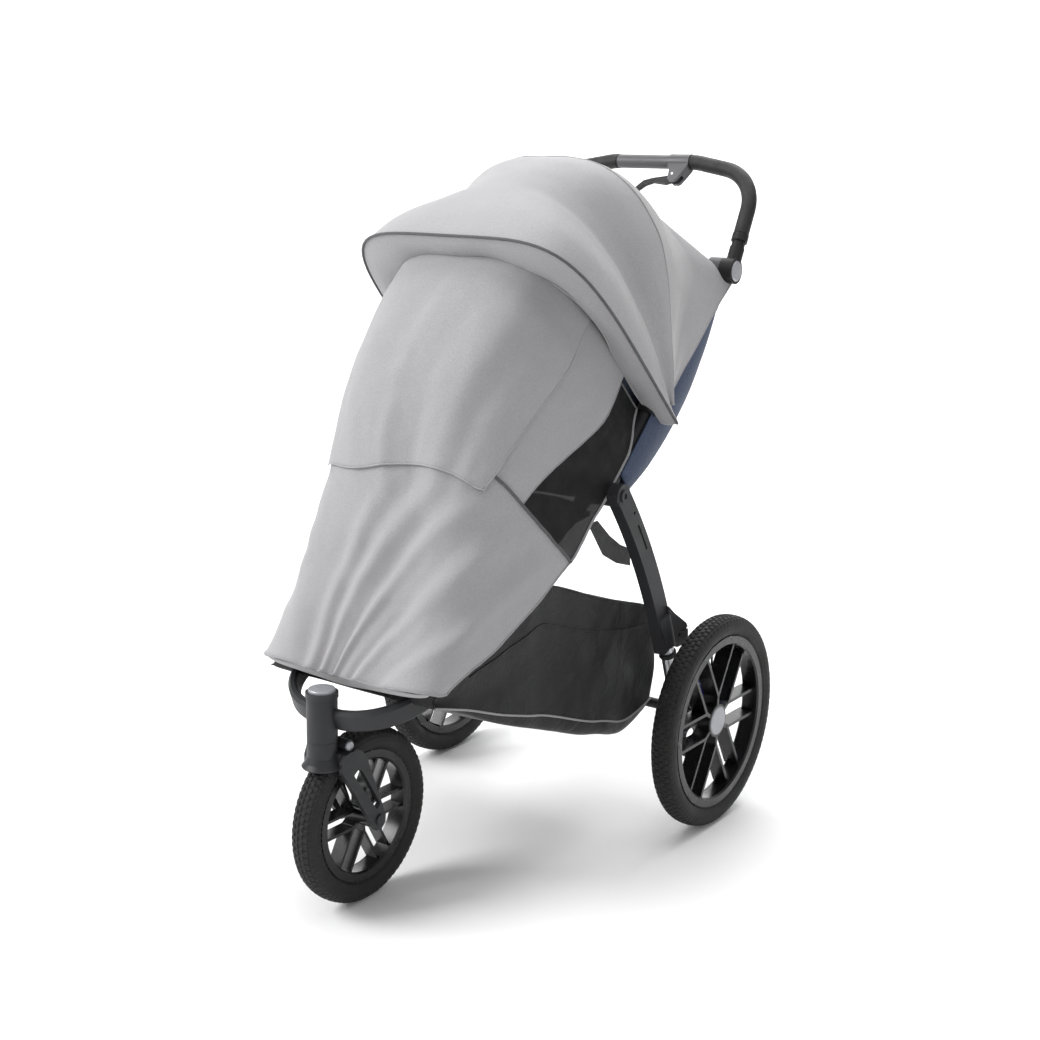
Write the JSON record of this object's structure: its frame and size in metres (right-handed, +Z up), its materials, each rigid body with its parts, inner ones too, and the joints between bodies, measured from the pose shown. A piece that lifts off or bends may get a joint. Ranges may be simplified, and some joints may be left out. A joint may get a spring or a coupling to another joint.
{
  "type": "jogging stroller",
  "caption": "Folding three-wheeled jogging stroller with a swivel front wheel, large rear wheels, canopy, full weather cover, reclining seat, basket and tilting handlebar.",
  "frame": {"origin": "on the floor, at the middle of the whole stroller's outline seen from above", "axes": "+Z up, -Y the way the stroller rolls, +X to the stroller's left-hand side"},
  "size_m": [0.67, 1.0477, 1.2275],
  "materials": {
    "frame_paint": "satin dark grey powder coat",
    "black_plastic": "matte black moulded plastic",
    "grey_plastic": "satin mid grey moulded plastic",
    "silver_plastic": "satin silver paint",
    "stanchion_metal": "brushed and anodised",
    "steel": "brushed",
    "cover_fabric": "light grey plain weave with a soft sheen",
    "window_mesh": "black see-through mesh",
    "seat_fabric": "navy blue melange weave",
    "basket_fabric": "black ripstop with a sheen",
    "webbing": "black ribbed webbing",
    "grip_cover": "black textured grip cover",
    "tyre_rubber": "black rubber, ribbed tread",
    "bumper": "elastomer",
    "caliper_paint": "blue anodised"
  },
  "bodies": {
    "front_frame": {"head_tube": "frame_paint", "head_cap": "silver_plastic", "front_arm_left": "frame_paint", "front_arm_right": "frame_paint", "lower_tube_left": "frame_paint", "lower_tube_right": "frame_paint", "foot_bar": "frame_paint", "footrest": "black_plastic", "fold_pins": "frame_paint", "seat_pan": "black_plastic", "seat_cushion": "seat_fabric", "harness_buckle": "black_plastic", "seat_strap": "webbing", "basket": "basket_fabric", "cover_flap": "cover_fabric", "cover_lower": "cover_fabric", "cover_window_left": "window_mesh", "cover_window_right": "window_mesh"},
    "upper_frame": {"upper_tube_left": "frame_paint", "upper_tube_right": "frame_paint", "handle_hubs": "grey_plastic", "canopy_pivots": "black_plastic", "seat_shell": "seat_fabric", "canopy_shell": "cover_fabric"},
    "canopy_front": {"canopy_bow_front": "black_plastic"},
    "canopy_middle": {"canopy_bow_middle": "black_plastic"},
    "backrest": {"backrest_board": "black_plastic", "backrest_pad": "seat_fabric", "shoulder_straps": "webbing"},
    "handlebar": {"handlebar_tube": "frame_paint", "grips": "grip_cover", "bar_sleeve": "grey_plastic", "handle_knuckles": "black_plastic", "lever_housing": "grey_plastic", "lever_pin": "steel"},
    "brake_lever": {"brake_lever": "black_plastic"},
    "hub_button_left": {"hub_button_left": "silver_plastic"},
    "hub_button_right": {"hub_button_right": "silver_plastic"},
    "rear_legs": {"rear_leg_left": "frame_paint", "rear_leg_right": "frame_paint", "leg_collars": "black_plastic", "suspension_bumpers": "bumper"},
    "rear_axle": {"stanchions": "stanchion_metal", "rear_axle": "black_plastic", "calipers": "caliper_paint", "brake_cables": "black_plastic"},
    "parking_pedal": {"parking_pedal": "black_plastic"},
    "rear_wheel_left": {"rear_tyre_left": "tyre_rubber", "rear_rim_left": "black_plastic", "brake_disc_left": "steel"},
    "rear_wheel_right": {"rear_tyre_right": "tyre_rubber", "rear_rim_right": "black_plastic", "brake_disc_right": "steel"},
    "hub_cap_left": {"hub_cap_left": "silver_plastic"},
    "hub_cap_right": {"hub_cap_right": "silver_plastic"},
    "fork": {"fork": "frame_paint", "front_axle": "frame_paint"},
    "swivel_button": {"swivel_button": "silver_plastic"},
    "front_wheel": {"front_tyre": "tyre_rubber", "front_rim": "black_plastic"}
  },
  "joints": [
    {"name": "frame_fold", "type": "hinge", "parent": "front_frame", "child": "upper_frame", "pos_m": [0, 0.042, 0.653], "axis": [1, 0, 0], "range_deg": [0, 130], "deforming": ["cover_flap", "cover_lower", "cover_window_left", "cover_window_right", "canopy_shell", "seat_shell", "seat_strap"]},
    {"name": "rear_leg_fold", "type": "hinge", "parent": "front_frame", "child": "rear_legs", "pos_m": [0, 0.042, 0.653], "axis": [1, 0, 0], "range_deg": [-53, 0]},
    {"name": "canopy_front_fold", "type": "hinge", "parent": "upper_frame", "child": "canopy_front", "pos_m": [0, 0.181, 0.785], "axis": [1, 0, 0], "range_deg": [-73.4, 0]},
    {"name": "canopy_middle_fold", "type": "hinge", "parent": "upper_frame", "child": "canopy_middle", "pos_m": [0, 0.181, 0.785], "axis": [1, 0, 0], "range_deg": [-36.5, 0]},
    {"name": "backrest_recline", "type": "hinge", "parent": "upper_frame", "child": "backrest", "pos_m": [0, 0.112, 0.662], "axis": [1, 0, 0], "range_deg": [0, 30]},
    {"name": "handlebar_tilt", "type": "hinge", "parent": "upper_frame", "child": "handlebar", "pos_m": [0, 0.411, 1.018], "axis": [1, 0, 0], "range_deg": [-75, 5]},
    {"name": "brake_lever_squeeze", "type": "hinge", "parent": "handlebar", "child": "brake_lever", "pos_m": [0.052, 0.49473, 1.18521], "axis": [0, 0.8942, -0.4478], "range_deg": [0, 18], "stiffness_Nm_per_rad": 0.6, "springref_deg": -17.19},
    {"name": "hub_button_left_press", "type": "slide", "parent": "handlebar", "child": "hub_button_left", "axis": [-1, 0, 0], "range_m": [0, 0.003], "stiffness_N_per_m": 600, "springref_m": -0.004},
    {"name": "hub_button_right_press", "type": "slide", "parent": "handlebar", "child": "hub_button_right", "axis": [1, 0, 0], "range_m": [0, 0.003], "stiffness_N_per_m": 600, "springref_m": -0.004},
    {"name": "rear_suspension", "type": "slide", "parent": "rear_legs", "child": "rear_axle", "axis": [0, -0.3567, 0.9342], "range_m": [0, 0.018], "stiffness_N_per_m": 9000, "springref_m": -0.025, "deforming": ["suspension_bumpers"]},
    {"name": "parking_pedal_press", "type": "hinge", "parent": "rear_axle", "child": "parking_pedal", "pos_m": [0, 0.287, 0.196], "axis": [1, 0, 0], "range_deg": [-25, 0]},
    {"name": "rear_wheel_left_spin", "type": "hinge", "parent": "rear_axle", "child": "rear_wheel_left", "pos_m": [0.312, 0.266, 0.2], "axis": [1, 0, 0], "continuous": true},
    {"name": "rear_wheel_right_spin", "type": "hinge", "parent": "rear_axle", "child": "rear_wheel_right", "pos_m": [-0.312, 0.266, 0.2], "axis": [1, 0, 0], "continuous": true},
    {"name": "hub_cap_left_press", "type": "slide", "parent": "rear_wheel_left", "child": "hub_cap_left", "axis": [-1, 0, 0], "range_m": [0, 0.003], "stiffness_N_per_m": 600, "springref_m": -0.004},
    {"name": "hub_cap_right_press", "type": "slide", "parent": "rear_wheel_right", "child": "hub_cap_right", "axis": [1, 0, 0], "range_m": [0, 0.003], "stiffness_N_per_m": 600, "springref_m": -0.004},
    {"name": "front_swivel", "type": "hinge", "parent": "front_frame", "child": "fork", "pos_m": [0, -0.464, 0.3], "axis": [0, 0, 1], "continuous": true},
    {"name": "swivel_button_press", "type": "slide", "parent": "fork", "child": "swivel_button", "axis": [-1, 0, 0], "range_m": [0, 0.003], "stiffness_N_per_m": 600, "springref_m": -0.004},
    {"name": "front_wheel_spin", "type": "hinge", "parent": "fork", "child": "front_wheel", "pos_m": [0, -0.374, 0.15], "axis": [1, 0, 0], "continuous": true}
  ],
  "couplings": [
    {"joint": "rear_leg_fold", "follows": "frame_fold", "ratio": -0.4},
    {"joint": "canopy_front_fold", "follows": "frame_fold", "ratio": -0.55692},
    {"joint": "canopy_middle_fold", "follows": "frame_fold", "ratio": -0.27308}
  ]
}
